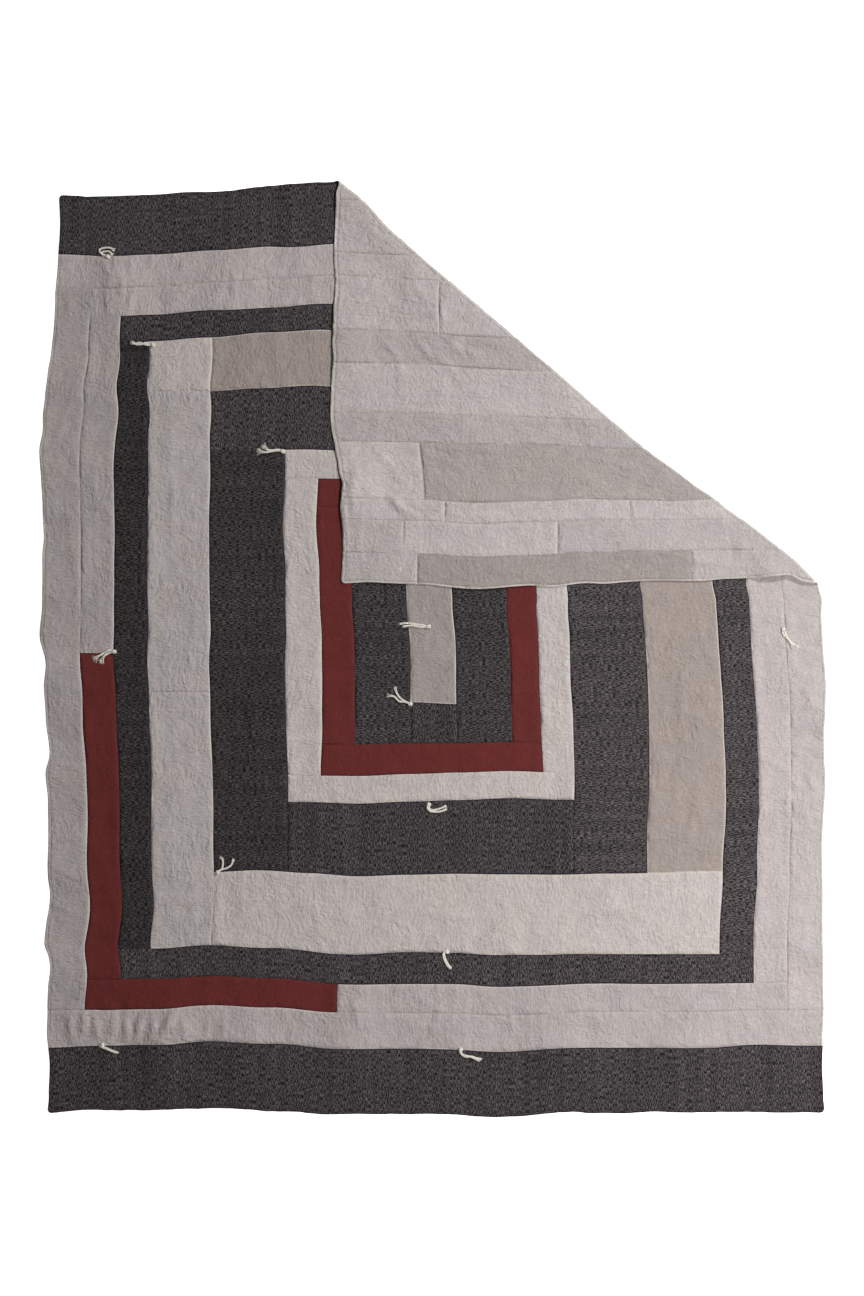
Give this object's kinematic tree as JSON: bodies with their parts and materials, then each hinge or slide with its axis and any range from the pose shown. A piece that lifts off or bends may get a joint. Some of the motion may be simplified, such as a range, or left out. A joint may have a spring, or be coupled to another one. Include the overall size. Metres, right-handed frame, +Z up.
{
  "type": "patchwork quilt",
  "caption": "Patchwork quilt of concentric charcoal, pale and dark red strips, laid flat with one corner folded over to show its back, tied with cream yarn.",
  "frame": {"origin": "midway under the laid quilt, on the surface it lies on", "axes": "+Y runs towards the head, whose right corner is folded over; +X runs to the right; +Z is up"},
  "size_m": [1.5706, 1.867, 0.0128],
  "materials": {
    "front_cloth": "matte woven cloth, pieced from charcoal, pale linen and dark red strips",
    "back_cloth": "matte pale woven cloth",
    "yarn": "soft matte cotton yarn"
  },
  "bodies": {
    "root": {"pieced_front": "front_cloth", "pieced_back": "back_cloth", "tie_01": "yarn", "tie_02": "yarn", "tie_03": "yarn", "tie_04": "yarn", "tie_05": "yarn", "tie_06": "yarn", "tie_07": "yarn", "tie_08": "yarn", "tie_09": "yarn", "tie_10": "yarn", "tie_11": "yarn", "tie_12": "yarn"}
  },
  "joints": []
}
